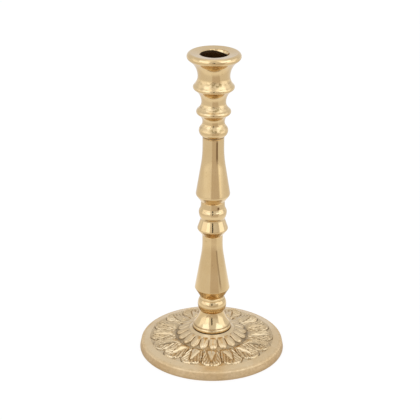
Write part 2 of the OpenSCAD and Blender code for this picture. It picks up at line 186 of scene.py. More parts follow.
@dataclass(frozen=True)
class Bead:
    """A bead or ring of a moulding: radius, height and edge rounding."""

    r: float
    z: float
    edge: float

    @property
    def centre(self) -> Point:
        """Centre of the rounded edge."""
        return (self.r - self.edge, self.z)

    def turned(self, start: float, end: float) -> Outline:
        """The rounded edge between two angles."""
        return sweep(self.centre, self.edge, start, end)

    def toward(self, waist: Waist) -> float:
        """Angle from the centre to the cove of a waist beside the bead."""
        return heading(self.centre, waist.cove(self)[0])


@dataclass(frozen=True)
class Waist:
    """The narrowest place between two beads."""

    r: float
    z: float

    def cove(self, bead: Bead) -> tuple[Point, float]:
        """The arc that leaves the waist upright and meets a bead smoothly.

        Args:
            bead: The bead that the cove runs into.

        Returns:
            Its centre and its radius.
        """
        across = self.r - bead.r + bead.edge
        radius = (across**2 + (self.z - bead.z) ** 2 - bead.edge**2) / (2 * (bead.r - self.r))
        return (self.r + radius, self.z), radius

    def up_to(self, bead: Bead) -> Outline:
        """The upper half of the waist, up to the bead above it."""
        centre, radius = self.cove(bead)
        return sweep(centre, radius, pi, heading(centre, bead.centre))

    def down_from(self, bead: Bead) -> Outline:
        """The lower half of the waist, from the bead below it."""
        centre, radius = self.cove(bead)
        return sweep(centre, radius, heading(centre, bead.centre) + 2 * pi, pi)


def moulding(beads: Sequence[Bead], waists: Sequence[Waist], start: float, end: float) -> Outline:
    """Beads one above the other, joined by the coves of the waists between them.

    Args:
        beads: The beads, from the lowest up.
        waists: The waists between them.
        start: Angle where the lowest bead begins.
        end: Angle where the highest bead ends.

    Returns:
        The points from the bottom to the top.
    """
    line: Outline = []
    for bead, above, waist in zip(beads, beads[1:], waists):
        line += bead.turned(start, bead.toward(waist))
        line += waist.down_from(bead) + waist.up_to(above)
        start = above.toward(waist)
    return line + beads[-1].turned(start, end)


def refined(points: Outline, step: float) -> Outline:
    """The outline with doubles dropped and long straight runs divided.

    Args:
        points: The outline.
        step: Longest run that is left whole.

    Returns:
        The outline with more points on the same line.
    """
    holds = (0.12, 0.35)  # rows close to each end keep the shading of a run flat
    made: Outline = [points[0]]
    for p in points[1:]:
        a = made[-1]
        length = dist(a, p)
        if length < SAME_POINT:
            continue
        parts = max(1, ceil(length / step))
        shares = {i / parts for i in range(1, parts)}
        if parts > 1:
            near = [hold / length for hold in holds]
            shares |= {*near, *(1 - share for share in near)}
        made += [(a[0] + (p[0] - a[0]) * s, a[1] + (p[1] - a[1]) * s) for s in sorted(shares)]
        made.append(p)
    return made


def crevices(points: Outline) -> Array:
    """How deep each point of an outline lies in an inner corner, from 0 to 1.

    Args:
        points: The outline, with the solid on the left of the way.

    Returns:
        One value per point.
    """
    slight, full, reach = radians(18), radians(60), 0.45
    line = np.array(points, float)
    ahead = np.roll(line, -1, 0) - line
    back = line - np.roll(line, 1, 0)
    cross = back[:, 0] * ahead[:, 1] - back[:, 1] * ahead[:, 0]
    turn = np.arctan2(cross, (back * ahead).sum(1))
    depth = np.zeros(len(line))
    for i in np.nonzero(turn < -slight)[0]:
        far = np.linalg.norm(line - line[i], axis=1)
        depth = np.maximum(depth, min(1.0, -turn[i] / full) * np.exp(-far / reach))
    return depth


# Meshes


def grid_faces(starts: Sequence[int], cols: int, closed: bool = True) -> list[Face]:
    """Quads between neighbouring rows of vertices.

    Args:
        starts: Number of the first vertex of each row.
        cols: Vertices in a row.
        closed: Whether each row is a ring.

    Returns:
        The vertex numbers of each quad.
    """
    spans = range(cols if closed else cols - 1)
    return [
        (a + j, a + (j + 1) % cols, b + (j + 1) % cols, b + j)
        for a, b in pairwise(starts)
        for j in spans
    ]


def mesh_object(name: str, points: Array, faces: list[Face], scale: float = MM) -> Piece:
    """A mesh object at the origin.

    Args:
        name: Name of the piece.
        points: Its vertices.
        faces: Vertex numbers of each face, pointing outwards.
        scale: Metres in the unit of the vertices.

    Returns:
        The linked object.
    """
    mesh = bpy.data.meshes.new(name)
    mesh.from_pydata((points * scale).tolist(), [], faces)
    mesh.validate()
    piece = bpy.data.objects.new(name, mesh)
    bpy.context.scene.collection.objects.link(piece)
    return piece


def set_layer(piece: Piece, name: str, values: Array) -> None:
    """Stores one value per vertex for a finish to read."""
    layer = piece.data.attributes.new(name, "FLOAT", "POINT")
    layer.data.foreach_set("value", values.astype(np.float32))


def shade(piece: Piece, sharp_deg: float) -> None:
    """Smooth shading with crisp edges past an angle."""
    piece.data.polygons.foreach_set("use_smooth", [True] * len(piece.data.polygons))
    piece.data.set_sharp_from_angle(angle=radians(sharp_deg))


@dataclass(frozen=True)
class Places:
    """Bearings in degrees from the front, heights and radii of a turned piece's vertices."""

    bearing: Array
    z: Array
    r: Array


Flaw = Callable[[Places], Array]


@dataclass
class Turning:
    """A solid of revolution turned from a closed outline.

    The outline runs with the solid on its left. An outline whose ends lie on the
    axis is closed there, any other is closed by its own last run.
    """

    name: str
    outline: Outline
    flaws: dict[Mark, Flaw]
    segments: int = 144
    sharp_deg: float = 24.0
    # strength of the painted shade in inner corners
    crease_shade: float = 1.0
    row_step: float = 2.5

    def build(self) -> Piece:
        """Turns the outline, paints shade into its crevices and marks its flaws.

        Returns:
            The smooth-shaded piece.
        """
        poled, n = self.outline[0][0] < SAME_POINT, self.segments
        line = refined(self.outline if poled else [*self.outline, self.outline[0]], self.row_step)
        line = line if poled else line[:-1]
        inner = slice(1, -1) if poled else slice(None)
        # painted shade, darker the deeper a row lies in an inner corner
        rows, dark = line[inner], np.repeat(self.crease_shade * crevices(line)[inner], n)
        angles = np.arange(n) * 2 * pi / n - pi / 2
        ring = np.stack([np.cos(angles), np.sin(angles)], 1)
        points = np.concatenate([np.column_stack([ring * r, np.full(n, z)]) for r, z in rows])
        starts = [k * n for k in range(len(rows))]
        faces = grid_faces(starts if poled else [*starts, 0], n)
        if poled:
            low, high, last = len(points), len(points) + 1, starts[-1]
            points = np.vstack([points, [0, 0, line[0][1]], [0, 0, line[-1][1]]])
            faces += [(low, (j + 1) % n, j) for j in range(n)]
            faces += [(high, last + j, last + (j + 1) % n) for j in range(n)]
            dark = np.append(dark, [0.0, 0.0])
        piece = mesh_object(self.name, points, faces)
        x, y, z = points.T
        at = Places(np.degrees(np.arctan2(x, -y)), z, np.hypot(x, y))
        for mark, flaw in self.flaws.items():
            if mark is Mark.SHADE_AND_TARNISH:
                dark = np.maximum(dark, flaw(at))
            else:
                set_layer(piece, mark.value, flaw(at))
        set_layer(piece, Mark.SHADE_AND_TARNISH.value, dark)
        shade(piece, self.sharp_deg)
        return piece


# Node building


class Sheet:
    """Short-hand for adding and joining nodes in a tree."""

    def __init__(self, tree: Tree) -> None:
        """Keeps the tree to work on."""
        self.tree = tree

    def add(self, kind: str, inputs: dict | None = None, **settings: object) -> Node:
        """Adds a node.

        Args:
            kind: The node's type name.
            inputs: Values or sockets for its inputs, by name or number.
            settings: Properties of the node.

        Returns:
            The node.
        """
        node = self.tree.nodes.new(kind)
        for key, value in settings.items():
            setattr(node, key, value)
        for key, value in (inputs or {}).items():
            self.put(node.inputs[key], value)
        return node

    def put(self, socket: Socket, value: object) -> None:
        """Links a socket to an input, or sets its value.

        Args:
            socket: The input.
            value: The socket to link, or the value.
        """
        if isinstance(value, Socket):
            self.tree.links.new(value, socket)
        else:
            socket.default_value = value

    def math(self, operation: str, *values: object) -> Socket:
        """Result of a Math node."""
        node = self.add("ShaderNodeMath", dict(enumerate(values)), operation=operation)
        return node.outputs[0]

    def noise(self, place: Socket, scale: object, detail: float, rough: float = 0.5) -> Socket:
        """Value of a noise texture."""
        values = {"Vector": place, "Scale": scale, "Detail": detail, "Roughness": rough}
        return self.add("ShaderNodeTexNoise", values).outputs["Fac"]

    def ramp(self, value: object, low: float, high: float) -> Socket:
        """Smooth rise from 0 at low to 1 at high."""
        values = {"Value": value, "From Min": low, "From Max": high}
        return self.add("ShaderNodeMapRange", values, interpolation_type="SMOOTHSTEP").outputs[0]

    def blend(self, share: object, a: object, b: object) -> Socket:
        """Colour between a and b.

        Args:
            share: Share of b.
            a: First colour or socket.
            b: Second colour or socket.

        Returns:
            The mixed colour.
        """
        node = self.add("ShaderNodeMix", {0: share}, data_type="RGBA")
        for socket, value in ((6, a), (7, b)):  # the sockets of the colours
            self.put(node.inputs[socket], (*value, 1.0) if isinstance(value, tuple) else value)
        return node.outputs[2]

    def mix(self, share: object, a: Node, b: Node) -> Node:
        """Shader between a and b."""
        return self.add("ShaderNodeMixShader", {0: share, 1: a.outputs[0], 2: b.outputs[0]})


# Finishes


def hand_wear_group() -> Tree:
    """Shared wear of polished and cast metal.

    Returns:
        A group with a cloudy polish, its share of the second colour, blotches, fine pits
        and a grain height.
    """
    pit_scale, blotch_scale, grain_scale = 700.0, 420.0, 1800.0
    pit_edge, pit_spread, pit_slope = 0.78, 0.5, 14.0
    tree = bpy.data.node_groups.new("hand_wear", "ShaderNodeTree")
    face = tree.interface
    face.new_socket("Vector", in_out="INPUT", socket_type="NodeSocketVector")
    for name in ("Cloud scale", "Pit share"):
        face.new_socket(name, in_out="INPUT", socket_type="NodeSocketFloat")
    s = Sheet(tree)
    given = s.add("NodeGroupInput").outputs
    place = given["Vector"]
    edge = s.math("SUBTRACT", pit_edge, s.math("MULTIPLY", given["Pit share"], pit_spread))
    pits = s.math("SUBTRACT", s.noise(place, pit_scale, 2.0), edge)
    pits = s.math("MAXIMUM", s.math("MULTIPLY", pits, pit_slope), 0.0)
    cloud = s.noise(place, given["Cloud scale"], 3.0, 0.6)
    outputs = {
        "Cloud": cloud,
        "Tint": s.ramp(cloud, 0.35, 0.7),
        "Blotch": s.noise(place, blotch_scale, 3.0),
        "Pits": s.math("MINIMUM", pits, 1.0),
        "Grain": s.noise(place, grain_scale, 3.0),
    }
    for name in outputs:
        face.new_socket(name, in_out="OUTPUT", socket_type="NodeSocketFloat")
    s.add("NodeGroupOutput", outputs)
    return tree


@dataclass(frozen=True)
class MetalFinish:
    """Metal with a cloudy polish, tarnish and painted shade in the crevices, and casting pits."""

    name: str
    bright: Colour
    second: Colour
    polish: float
    grain_m: float
    # colour of the painted shade, and of the tarnish, pits and cast skin
    shade_and_tarnish: Colour = (0.0, 0.0, 0.0)
    blotched: Colour = (0.0, 0.0, 0.0)
    mottle: float = 0.0
    dull: float = 0.0
    pit_share: float = 0.0
    pit_dark: float = 0.6
    pit_depth: float = 2.0
    pitted_rough: float = 0.30
    cast_dark: float = 0.45
    cast_grain: float = 6.0
    cloud_scale: float = 60.0
    cloud_rough: float = 0.05
    rough_by: str = "Cloud"

    def material(self, wear: Tree) -> bpy.types.Material:
        """Builds the finish.

        Args:
            wear: The shared wear group.

        Returns:
            The material.
        """
        made = bpy.data.materials.new(self.name)
        made.use_nodes = True
        s = Sheet(made.node_tree)
        place = s.add("ShaderNodeTexCoord").outputs["Object"]
        values = {"Vector": place, "Cloud scale": self.cloud_scale, "Pit share": self.pit_share}
        worn = s.add("ShaderNodeGroup", node_tree=wear)
        for name, value in values.items():
            s.put(worn.inputs[name], value)
        worn = worn.outputs
        shaded_and_tarnished, cast, pitted = (
            s.add("ShaderNodeAttribute", attribute_name=mark.value).outputs["Fac"] for mark in Mark
        )
        colour = s.blend(worn["Tint"], self.bright, self.second)
        spots = s.math("MULTIPLY", s.ramp(pitted, 0.46, 0.90), s.ramp(worn["Blotch"], 0.42, 0.58))
        colour = s.blend(s.math("MULTIPLY", spots, self.mottle), colour, self.blotched)
        # painted shade and tarnish from the vertex mark, with pits and cast skin, darken the colour
        dark = s.math("MAXIMUM", shaded_and_tarnished, s.math("MULTIPLY", worn["Pits"], self.pit_dark))
        dark = s.math("MAXIMUM", dark, s.math("MULTIPLY", cast, self.cast_dark))
        rough = s.math("MULTIPLY_ADD", worn[self.rough_by], self.cloud_rough, self.polish)
        rough = s.math("MULTIPLY_ADD", s.math("MAXIMUM", dark, cast), self.dull, rough)
        grain = s.math("MULTIPLY_ADD", cast, self.cast_grain, 1.0)
        grain = s.math("MULTIPLY", worn["Grain"], grain)
        height = s.math("SUBTRACT", grain, s.math("MULTIPLY", worn["Pits"], self.pit_depth))
        values = {"Height": height, "Strength": 1.0, "Distance": self.grain_m}
        for name, value in {
            "Metallic": 1.0,
            "Base Color": s.blend(dark, colour, self.shade_and_tarnish),
            "Roughness": s.math("MULTIPLY_ADD", pitted, self.pitted_rough, rough),
            "Normal": s.add("ShaderNodeBump", values).outputs["Normal"],
        }.items():
            s.put(made.node_tree.nodes["Principled BSDF"].inputs[name], value)
        return made


@dataclass
class Finishes:
    """The finishes of the candlestick."""

    brass: MetalFinish = MetalFinish(
        name="polished_brass", bright=(0.73, 0.54, 0.287), second=(0.70, 0.505, 0.255),
        shade_and_tarnish=(0.17, 0.080, 0.024), blotched=(0.30, 0.20, 0.075), mottle=0.85,
        polish=0.085, dull=0.30, pit_share=0.16, grain_m=0.000012,
    )
    cast: MetalFinish = MetalFinish(
        name="cast_brass", bright=(0.76, 0.585, 0.35), second=(0.70, 0.51, 0.275),
        shade_and_tarnish=(0.26, 0.185, 0.10), blotched=(0.45, 0.31, 0.15), mottle=0.22,
        polish=0.15, dull=0.18, pit_share=0.18, grain_m=0.00004,
    )
    steel: MetalFinish = MetalFinish(
        name="plated_steel", bright=(0.66, 0.67, 0.69), second=(0.55, 0.56, 0.58),
        polish=0.28, grain_m=0.00004, pit_dark=0.0, pit_depth=0.0,
        cloud_scale=180.0, cloud_rough=0.12, rough_by="Tint",
    )
    made: dict[Slot, bpy.types.Material] = field(default_factory=dict)

    def build(self) -> None:
        """Makes every finish once."""
        wear = hand_wear_group()
        kinds = {Slot.BRASS: self.brass, Slot.CAST_BRASS: self.cast, Slot.STEEL: self.steel}
        self.made = {slot: kind.material(wear) for slot, kind in kinds.items()}

    def dress(self, piece: Piece, slot: Slot) -> None:
        """Gives a piece its finish and slot.

        Args:
            piece: The piece.
            slot: Its material slot.
        """
        piece.data.materials.clear()
        piece.data.materials.append(self.made[slot])

    def show(self, piece: Piece, slot: Slot, *nodes: str) -> None:
        """Dresses a new piece, and lets it ride on the body and stand for its solids.

        Args:
            piece: The piece.
            slot: Its material slot.
            nodes: The solids that it replaces.
        """
        self.dress(piece, slot)
        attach(piece, BODY)
        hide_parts(*nodes)
        LOG.info("%s: %d faces", piece.name, len(piece.data.polygons))


# Fits shared by the sections


@dataclass(frozen=True)
class Fits:
    """Holes, spigots and recesses that the sections share."""

    rod_hole_r: float = 4.5
    thread_r: float = 4.05
    thread_l: float = 16.5
    spigot_r: float = 6.2
    spigot_h: float = 2.5
    recess_r: float = 6.3
    recess_h: float = 3.0
    seam_bevel: float = 0.3

    def strung(self, side: Outline, height: float, z: float) -> Outline:
        """Closed outline of a section on the rod.

        Args:
            side: Outer side from the bottom edge to the top edge.
            height: Height of the section.
            z: Height of its bottom.

        Returns:
            The outline with spigot, recess and rod hole, in place.
        """
        line = [
            (self.rod_hole_r, -self.spigot_h), (self.spigot_r, -self.spigot_h),
            (self.spigot_r, 0.0), *side, *self.recess(height),
        ]
        return [(r, h + z) for r, h in line]

    def recess(self, z: float) -> Outline:
        """Recess for the next spigot, in a top at the height z."""
        floor = z - self.recess_h
        return [(self.recess_r, z), (self.recess_r, floor), (self.rod_hole_r, floor)]

    def bottom_edge(self, r: float) -> Outline:
        """Bevelled bottom edge of a section."""
        return [(r - self.seam_bevel, 0.0), (r, self.seam_bevel)]

    def top_edge(self, r: float, z: float) -> Outline:
        """Bevelled top edge of a section."""
        return [(r, z - self.seam_bevel), (r - self.seam_bevel, z)]


# Base


@dataclass
class Base:
    """Cast base: rounded plain border, dome with a rosette, hollow underside."""

    finishes: Finishes
    fits: Fits = Fits()
    base_r: float = 61.0
    seat_h: float = 19.0
    seat_t: float = 6.0
    seat_r: float = 16.3
    seat_ease: Point = (0.4, 0.25)
    edge_h: float = 7.2
    edge_in: float = 1.4
    edge_round: float = 1.8
    toe_round: float = 0.8
    border_w: float = 8.8
    border_h: float = 9.2
    collar_r: float = 19.0
    collar_h: float = 17.4
    dome_curve: float = 2.5
    wall_t: float = 4.0
    tread_w: float = 7.0
    petal_n: int = 20
    petal_l: float = 10.5
    petal_h: float = 2.0
    petal_gap: float = 0.45
    petal_turn: float = 3.0
    leaf_n: int = 16
    leaf_h: float = 3.2
    tip_h: float = 0.9
    leaf_turn: float = 0.6
    leaf_swell: float = 0.36
    leaf_tuck: float = 0.1
    rib_step: float = 2.5
    rib_h: float = 0.5
    relief_sink: float = 0.8
    relief_lap: float = 0.5
    relief_inset: float = 1.5
    relief_t: float = 1.6
    chasing: float = 0.32
    front_lightening: float = 0.35
    side_shade: float = 0.26

    @property
    def relief_r(self) -> float:
        """Outer radius of the rosette."""
        return self.base_r - self.border_w

    @property
    def leaf_r(self) -> float:
        """Radius where the petals end and the leaves begin."""
        return self.collar_r + self.petal_l

    @property
    def roof(self) -> float:
        """Height of the hollow under the seat."""
        return self.seat_h - self.seat_t

    @property
    def hollow_r(self) -> float:
        """Inner radius of the tread."""
        return self.base_r - self.tread_w

    @property
    def edge(self) -> Point:
        """Corner where the side turns over to the border."""
        return (self.base_r - self.edge_in, self.edge_h)

    def dome(self, r: Array | float) -> Array | float:
        """Height of the dome under the rosette."""
        share = (self.relief_r - r) / (self.relief_r - self.collar_r)
        return self.border_h + (self.collar_h - self.border_h) * share**self.dome_curve

    def build(self) -> None:
        """Makes the plain casting and the two rings of the rosette."""
        plain = self.casting()
        petals = self.ring(
            "petal_ring", self.petal_sector(), self.petal_n, turn=self.petal_turn, dulling=0.45
        )
        leaves = self.ring("leaf_ring", self.leaf_sector(), self.leaf_n, patina=0.05)
        for piece in (plain, petals, leaves):
            self.finishes.show(piece, Slot.CAST_BRASS, "base")

    def casting(self) -> Piece:
        """The plain casting, with its ground sunk under the rosette.

        Returns:
            The turned piece.
        """
        inset, border = self.relief_inset, (self.relief_r, self.border_h)
        ground = np.linspace(self.relief_r - inset, self.collar_r + inset, 13)
        vault = np.linspace(self.collar_r - self.wall_t, self.relief_r - self.wall_t, 21)[:-1]
        line: Outline = [
            *[(r, min(self.roof, self.dome(r) - self.wall_t)) for r in vault],
            (self.relief_r - self.wall_t / 2, self.border_h - self.wall_t),
            (self.hollow_r, 0.0),
            *fillet((0, 0), (self.base_r, 0), self.edge, self.toe_round, 8),
            *fillet((self.base_r, 0), self.edge, border, self.edge_round, 24),
            border,
            *[(r, self.dome(r) - self.relief_sink) for r in ground],
            (self.collar_r, self.collar_h),
            (self.seat_r + self.seat_ease[0], self.seat_h - self.seat_ease[1]),
            (self.seat_r, self.seat_h),
            *self.fits.recess(self.seat_h),
            (self.fits.rod_hole_r, self.roof),
        ]
        flaws = {Mark.ROUGH_CAST: self.under_side, Mark.PITTING: self.brushed}
        # painted shadow in the seam under the foot
        flaws[Mark.SHADE_AND_TARNISH] = self.seam_shadow
        return Turning("base_casting", line, flaws, segments=256, sharp_deg=20.0).build()

    def under_side(self, at: Places) -> Array:
        """Rough casting skin in the hollow.

        Args:
            at: Places on the casting.

        Returns:
            How rough each of them is.
        """
        vault = self.dome(np.minimum(at.r, self.relief_r)) - self.wall_t
        below = at.z < np.minimum(self.roof, vault) + CLEAR
        return ((at.r < self.hollow_r - CLEAR) & below).astype(float)

    def brushed(self, at: Places) -> Array:
        """Brushed border, dullest where it turns over the edge.

        Args:
            at: Places on the casting.

        Returns:
            How dull each of them is.
        """
        plain, worn, inward, reach, side_h = 0.40, 0.95, 0.4, 1.8, 2.0
        over = bell(at.r - self.edge[0] + inward, reach, 4) * (at.z > side_h)
        return ((at.r > self.relief_r - CLEAR) & (at.z > TOE)) * (plain + worn * over)

    def seam_shadow(self, at: Places) -> Array:
        """Painted shadow in the seam that the foot stands in."""
        ease = self.seat_ease[0]
        return (at.z > self.seat_h - 2 * CLEAR) * unit((self.seat_r + ease - at.r) / ease)

    def petal_sector(self) -> Sector:
        """One petal of the inner ring.

        Returns:
            Radii of the rows, place across of the columns and height over the dome.
        """
        foot_w, belly_w, belly_turn, tip_power = 0.74, 0.20, 0.85, 5
        climb_l, fullness, end_power, gap_l = 0.5, 0.9, 8, 0.2
        line_at, line_w, line_from, line_fade, line_depth = 0.58, 0.08, 0.3, 0.25, 0.42
        body, tip = np.linspace(0, 0.8, 22), np.linspace(0.815, 1.04, 16)
        radii = self.collar_r + self.petal_l * np.append(body, tip)
        radii = np.append(self.collar_r - self.relief_lap, radii)
        across = np.linspace(-1, 1, 41)
        v = ((radii - self.collar_r) / self.petal_l)[:, None]
        inside = unit(v)
        w = foot_w + belly_w * np.sin(pi * inside * belly_turn)
        w = w * np.sqrt(1 - inside**tip_power)
        crown = np.sqrt(unit(1 - (across / np.maximum(w, THIN)) ** 2))
        rise = unit(inside / climb_l)
        height = fullness * self.petal_h * rise * (2 - rise)
        height = height * np.sqrt(1 - inside**end_power) * crown
        # line along both sides of the petal
        line = bell(np.abs(across) - line_at * w, line_w) * unit((inside - line_from) / line_fade)
        height = height - line_depth * line * crown
        gap = -self.petal_gap * unit(v / gap_l)
        height = np.where((crown > 0) & (v < 1), height, gap)
        height[0] = -self.relief_lap
        return radii, across, height

    def leaf_sector(self) -> Sector:
        """One leaf of the outer ring.

        Returns:
            Radii of the rows, place across of the columns and height over the dome.
        """
        foot_w, spread_w, spread_l, tip_power, flat_power = 0.82, 0.15, 0.45, 2.4, 6
        lobes, lobe_depth, lobes_from, lobes_fade, climb_l = 5, 0.05, 0.4, 0.125, 0.22
        tongue_w, tongue_l, tongue_power, swell_l, low_share = 0.74, 0.80, 1.4, 0.34, 0.15
        rib_out, rib_along, rib_end, rib_fade, soft = 0.90, 0.36, 0.93, 0.08, 0.5
        line_w, line_depth, gap_depth, gap_fade = 0.06, 0.45, 0.9, 0.2
        curl_in, curl_h, curl_from, curl_fade = 1.0, 0.45, 0.70, 0.12
        edge_w, edge_depth, edge_from, edge_fade = 0.25, 0.35, 0.55, 0.2
        length = self.relief_r - self.leaf_r
        radii = self.leaf_r + length * np.linspace(-self.leaf_tuck, 1.0, 80)
        radii = np.append(radii, self.relief_r + self.relief_lap)
        across = np.linspace(-1, 1, 73)
        v = np.clip((radii - self.leaf_r) / length, -self.leaf_tuck, 1)[:, None]
        size = np.abs(across)[None, :]
        # outline with a rounded tip and small lobes, and the distance inside it
        tip = unit((v - self.leaf_turn) / (1 - self.leaf_turn))
        w = (foot_w + spread_w * unit(v / spread_l)) * np.sqrt(1 - tip**tip_power)
        lobed = np.abs(np.sin(pi * lobes * unit(v))) * unit((v - lobes_from) / lobes_fade)
        w = w * (1 - lobe_depth * lobed)
        slope = np.gradient(w[:, 0], radii)[:, None]
        half = radii[:, None] * pi / self.leaf_n
        inset = (w - size) / np.sqrt((1 / half) ** 2 + slope**2)
        flat = np.sqrt(unit(1 - (size / np.maximum(w, THIN)) ** flat_power))
        rise = eased(unit(v / climb_l))
        height = self.tip_h * flat * rise - self.petal_gap * (1 - rise)
        # ridged tongue that narrows to a point
        tongue = np.maximum(0.01, tongue_w * (1 - v / tongue_l))
        crown = unit(1 - (size / tongue) ** tongue_power) * (v < tongue_l)
        swell = low_share + (1 - low_share) * bell(v - self.leaf_swell, swell_l)
        height += (self.leaf_h - self.tip_h) * swell * rise * crown
        # slanting ribs beside the tongue
        beside = size - tongue
        flank = unit(beside / line_w) * unit((rib_end - v) / rib_fade)
        flank = flank * unit((v + self.leaf_tuck) / self.leaf_tuck)
        slant = size * half * rib_out - v * length * rib_along
        ribs = np.sin(2 * pi * slant / self.rib_step)
        height += self.rib_h * ribs * flank * unit(inset / soft)
        # line round the tongue, curled tip, deep gaps between the leaves
        height -= line_depth * bell(beside, line_w) * (v < tongue_l) * rise
        height += curl_h * bell(inset - curl_in, soft) * unit((v - curl_from) / curl_fade)
        height -= gap_depth * unit(-inset / soft) * unit((tongue_l - v) / gap_fade) * rise
        height -= edge_depth * unit((v - edge_from) / edge_fade) * bell(inset + edge_w, edge_w)
        height[-1] = -self.relief_lap
        return radii, across, height

    def ring(
        self, name: str, sector: Sector, count: int,
        turn: float = 0.0, patina: float = 0.0, dulling: float = 0.0,
    ) -> Piece:
        """Repeats a sector of relief round the dome as one closed ring.

        Args:
            name: Name of the piece.
            sector: Radii, places across and heights.
            count: Sectors in the ring.
            turn: Bearing of the first sector, in degrees.
            patina: Share of tarnish on the whole ring.
            dulling: How far its polish is lost.

        Returns:
            The finished ring.
        """
        radii, across, height = sector
        rows, cols = height.shape
        angle = radians(turn - 90) + across * pi / count
        ground = self.dome(np.clip(radii, self.collar_r, self.relief_r))
        # the rows of the relief, then three rows under it on the way back
        under = [rows - 1, rows // 2, 0]
        spokes = np.append(radii, radii[under])[:, None]
        floor = np.repeat((ground - self.relief_t)[under, None], cols, 1)
        levels = np.vstack([ground[:, None] + height, floor])
        points = np.stack([spokes * np.cos(angle), spokes * np.sin(angle), levels], -1)
        starts = range(0, levels.size, cols)
        faces = grid_faces([0, *reversed(starts)], cols, closed=False)
        piece = mesh_object(name, points.reshape(-1, 3), faces)
        recess = np.vstack([self.shade_and_patina(height, patina), np.zeros_like(floor)])
        set_layer(piece, Mark.SHADE_AND_TARNISH.value, recess.reshape(-1))
        set_layer(piece, Mark.PITTING.value, np.full(levels.size, dulling))
        settle(piece, ring_tree(), {"Count": count, "Finish": self.finishes.made[Slot.CAST_BRASS]})
        self.chase(piece)
        self.shade_by_bearing(piece)
        shade(piece, sharp_deg=50.0)
        return piece

    def shade_and_patina(self, height: Array, patina: float) -> Array:
        """Patina of a sector, and painted shade in what lies lower than its surroundings.

        Args:
            height: Heights of the sector over the dome.
            patina: Share of tarnish on all of it.

        Returns:
            The patina and painted shade at each of its points.
        """
        reach, hollow_h, hollow_dark, deep_h, deep_dark = 8, 0.26, 0.56, 0.5, 0.50
        inner_dark, outer_dark = 0.2, 0.1
        wrapped = [height[:, -1 - reach : -1], height, height[:, 1 : 1 + reach]]
        around = soft = np.concatenate(wrapped, 1)
        for axis in (0, 1) * 3:
            soft = (np.roll(soft, 2, axis) + np.roll(soft, -2, axis) + soft) / 3
        # painted shade: darker in hollows, in gaps below the dome, and on the rows where the relief
        # meets the casting
        hollow = unit((soft - around)[:, reach:-reach] / hollow_h)
        recess = unit(patina + hollow_dark * hollow + deep_dark * unit(-height / deep_h))
        recess[:2], recess[-2:] = inner_dark, outer_dark
        return recess

    def chase(self, piece: Piece) -> None:
        """Unevenness of hand chasing on the raised metal, so that no two leaves are alike.

        Args:
            piece: A ring of the rosette.
        """
        waves = ((4.6, 7.3, 1.5), (1.8, 2.9, 0.35))  # length, level in the noise, share
        lowest, margin = 0.3, 0.5
        for vertex in piece.data.vertices:
            x, y, z = vertex.co / MM
            r = hypot(x, y)
            lift = z - float(self.dome(min(max(r, self.collar_r), self.relief_r)))
            if lift < lowest or r > self.relief_r - margin:
                continue
            rough = sum(
                share * noise.noise(Vector((x / length, y / length, level)))
                for length, level, share in waves
            )
            vertex.co.z += self.chasing * rough * min(1.0, lift) * MM

    def shade_by_bearing(self, piece: Piece) -> None:
        """Painted light and shade by bearing: the dark marks are lighter at the front and back and
        darker at the sides.

        Args:
            piece: A ring of the rosette.
        """
        places = np.empty(3 * len(piece.data.vertices))
        piece.data.vertices.foreach_get("co", places)
        x, y, _z = places.reshape(-1, 3).T
        side = x**2 / (x**2 + y**2)
        marks = piece.data.attributes[Mark.SHADE_AND_TARNISH.value].data
        dark = np.empty(len(marks))
        marks.foreach_get("value", dark)
        # painted light at the front and back, painted shade at the sides
        dark = dark * (1 - self.front_lightening * (1 - side)) + self.side_shade * side
        marks.foreach_set("value", unit(dark))


def ring_tree() -> Tree:
    """Geometry nodes that repeat a sector round the upright axis and weld the seams.

    Returns:
        The tree, with inputs for the count and the finish.
    """
    known = bpy.data.node_groups.get("ring_of_sectors")
    if known:
        return known
    seam_m = 0.000005
    tree = bpy.data.node_groups.new("ring_of_sectors", "GeometryNodeTree")
    for name, way, kind in (
        ("Geometry", "INPUT", "NodeSocketGeometry"),
        ("Count", "INPUT", "NodeSocketInt"),
        ("Finish", "INPUT", "NodeSocketMaterial"),
        ("Geometry", "OUTPUT", "NodeSocketGeometry"),
    ):
        tree.interface.new_socket(name, in_out=way, socket_type=kind)
    s = Sheet(tree)
    given = s.add("NodeGroupInput").outputs
    count, sector = given["Count"], given["Geometry"]
    still = {"Count": count, "Offset": (0.0, 0.0, 0.0)}
    spots = s.add("GeometryNodeMeshLine", still, mode="OFFSET")
    step = s.math("DIVIDE", 2 * pi, count)
    turn = s.math("MULTIPLY", s.add("GeometryNodeInputIndex").outputs[0], step)
    spin = s.add("ShaderNodeCombineXYZ", {"Z": turn}).outputs[0]
    made = s.add(
        "GeometryNodeInstanceOnPoints",
        {"Points": spots.outputs["Mesh"], "Instance": sector, "Rotation": spin},
    )
    for kind, inputs in (
        ("GeometryNodeRealizeInstances", {}),
        ("GeometryNodeMergeByDistance", {"Distance": seam_m}),
        ("GeometryNodeSetMaterial", {"Material": given["Finish"]}),
        ("NodeGroupOutput", {}),
    ):
        made = s.add(kind, {"Geometry": made.outputs[0], **inputs})
    return tree


def settle(piece: Piece, tree: Tree, values: dict[str, object]) -> None:
    """Runs a geometry node tree on a piece and keeps the result as its plain mesh.

    Args:
        piece: The piece, with the tree's starting mesh.
        tree: The tree.
        values: Inputs of the tree by name.
    """
    worker = piece.modifiers.new(tree.name, "NODES")
    worker.node_group = tree
    for item in tree.interface.items_tree:
        if item.item_type == "SOCKET" and item.in_out == "INPUT" and item.name in values:
            worker[item.identifier] = values[item.name]
    graph = bpy.context.evaluated_depsgraph_get()
    mesh = bpy.data.meshes.new_from_object(piece.evaluated_get(graph))
    piece.modifiers.remove(worker)
    piece.data = mesh


# Stem


